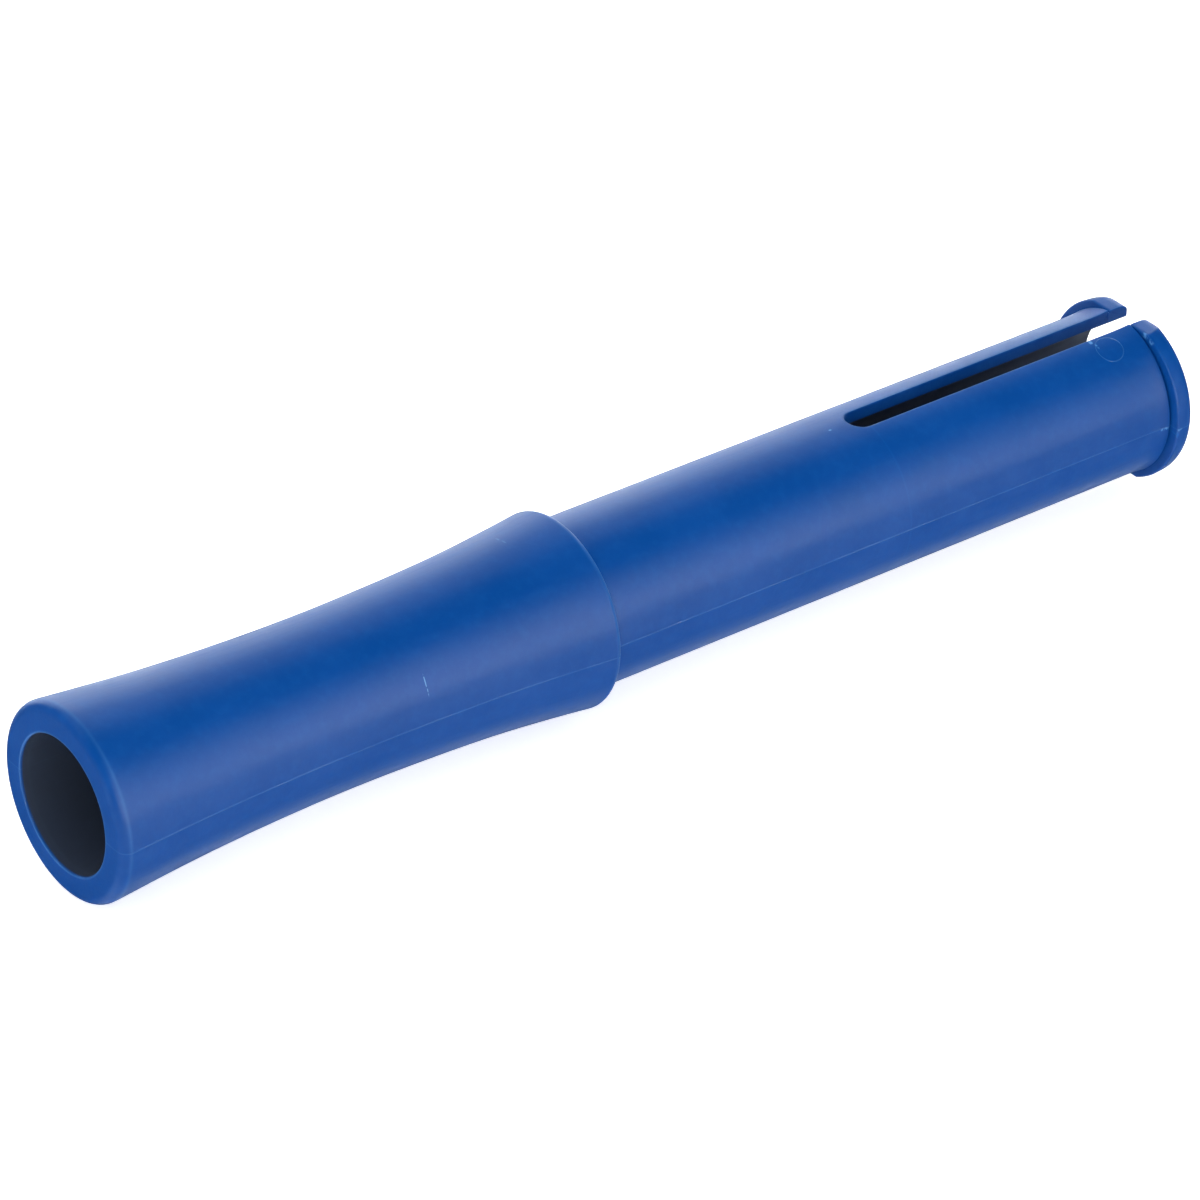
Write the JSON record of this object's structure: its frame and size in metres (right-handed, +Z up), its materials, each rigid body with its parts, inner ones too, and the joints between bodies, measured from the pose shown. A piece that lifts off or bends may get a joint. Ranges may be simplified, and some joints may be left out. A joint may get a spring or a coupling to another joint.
{
  "type": "hand dispenser handle",
  "caption": "Hollow plastic handle with a waisted grip and a split spindle whose two sprung fingers end in lips that keep a roll of film on.",
  "frame": {"origin": "middle of the mouth, where the bore's axis meets the plane of the rim's face", "axes": "+X along the axis from the mouth to the lips, +Z up through the middle of one slot, +Y across; the fingers are on the -Y and +Y sides"},
  "size_m": [0.2776, 0.0426, 0.0426],
  "materials": {
    "grip_plastic": "moulded polypropylene, semi-matt, fine mottle",
    "spindle_plastic": "moulded polypropylene, semi-matt, fine mottle"
  },
  "bodies": {
    "handle": {"grip": "grip_plastic", "spindle": "spindle_plastic"},
    "near_finger": {"finger_near": "spindle_plastic", "lip_near": "spindle_plastic"},
    "far_finger": {"finger_far": "spindle_plastic", "lip_far": "spindle_plastic"}
  },
  "joints": [
    {"name": "near_finger_flex", "type": "hinge", "parent": "handle", "child": "near_finger", "pos_m": [0.19975, -0.00335, 0], "axis": [0, 0, 1], "range_deg": [0, 1.5], "stiffness_Nm_per_rad": 1.5},
    {"name": "far_finger_flex", "type": "hinge", "parent": "handle", "child": "far_finger", "pos_m": [0.19975, 0.00335, 0], "axis": [0, 0, -1], "range_deg": [0, 1.5], "stiffness_Nm_per_rad": 1.5}
  ]
}
